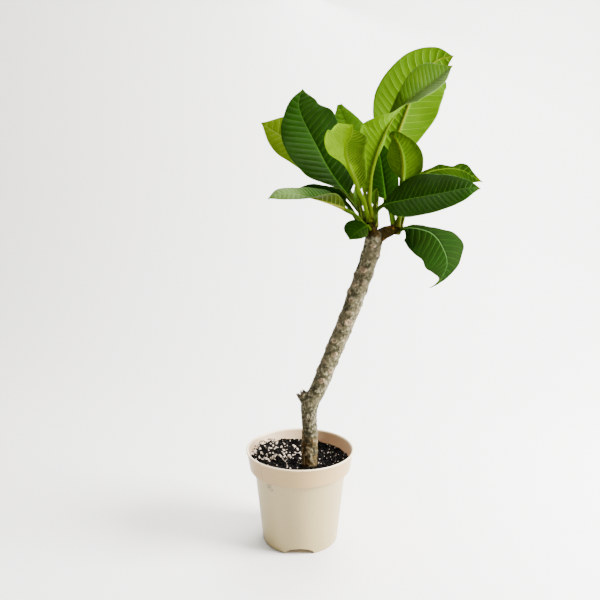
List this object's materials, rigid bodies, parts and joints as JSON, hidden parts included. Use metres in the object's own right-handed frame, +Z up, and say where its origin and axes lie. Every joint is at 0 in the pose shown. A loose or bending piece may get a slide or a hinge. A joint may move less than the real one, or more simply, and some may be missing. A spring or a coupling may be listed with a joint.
{
  "type": "potted plant",
  "caption": "Young leafy plant with a leaning grey branching stem and broad pointed leaves, growing in dark gritty soil in a round cream plastic nursery pot.",
  "frame": {"origin": "middle of the whole plant's bounding box, on the ground under the pot", "axes": "+Z up along the pot's axis, +X towards the side the stem leans to, -Y towards the viewer of the picture"},
  "size_m": [0.2592, 0.1314, 0.5383],
  "materials": {
    "pot": "satin",
    "soil": "matte",
    "stem": "matte",
    "leaf_dark": "satin",
    "leaf_mid": "satin",
    "leaf_lime": "satin",
    "leaf_yellow": "satin"
  },
  "bodies": {
    "root": {"pot": "pot", "soil": "soil", "stem": "stem", "leaf_dark_left": "leaf_dark", "leaf_back_left": "leaf_lime", "leaf_back": "leaf_mid", "leaf_young_folded": "leaf_yellow", "leaf_twisted": "leaf_lime", "leaf_tall_back": "leaf_lime", "leaf_right_upright": "leaf_lime", "leaf_inner_dark": "leaf_dark", "leaf_dark_right": "leaf_dark", "leaf_back_right": "leaf_mid", "leaf_drooping": "leaf_dark", "leaf_arching_left": "leaf_mid", "leaf_low_left": "leaf_mid", "leaf_small_round": "leaf_dark", "bud_left": "leaf_lime", "bud_right": "leaf_lime"}
  },
  "joints": []
}
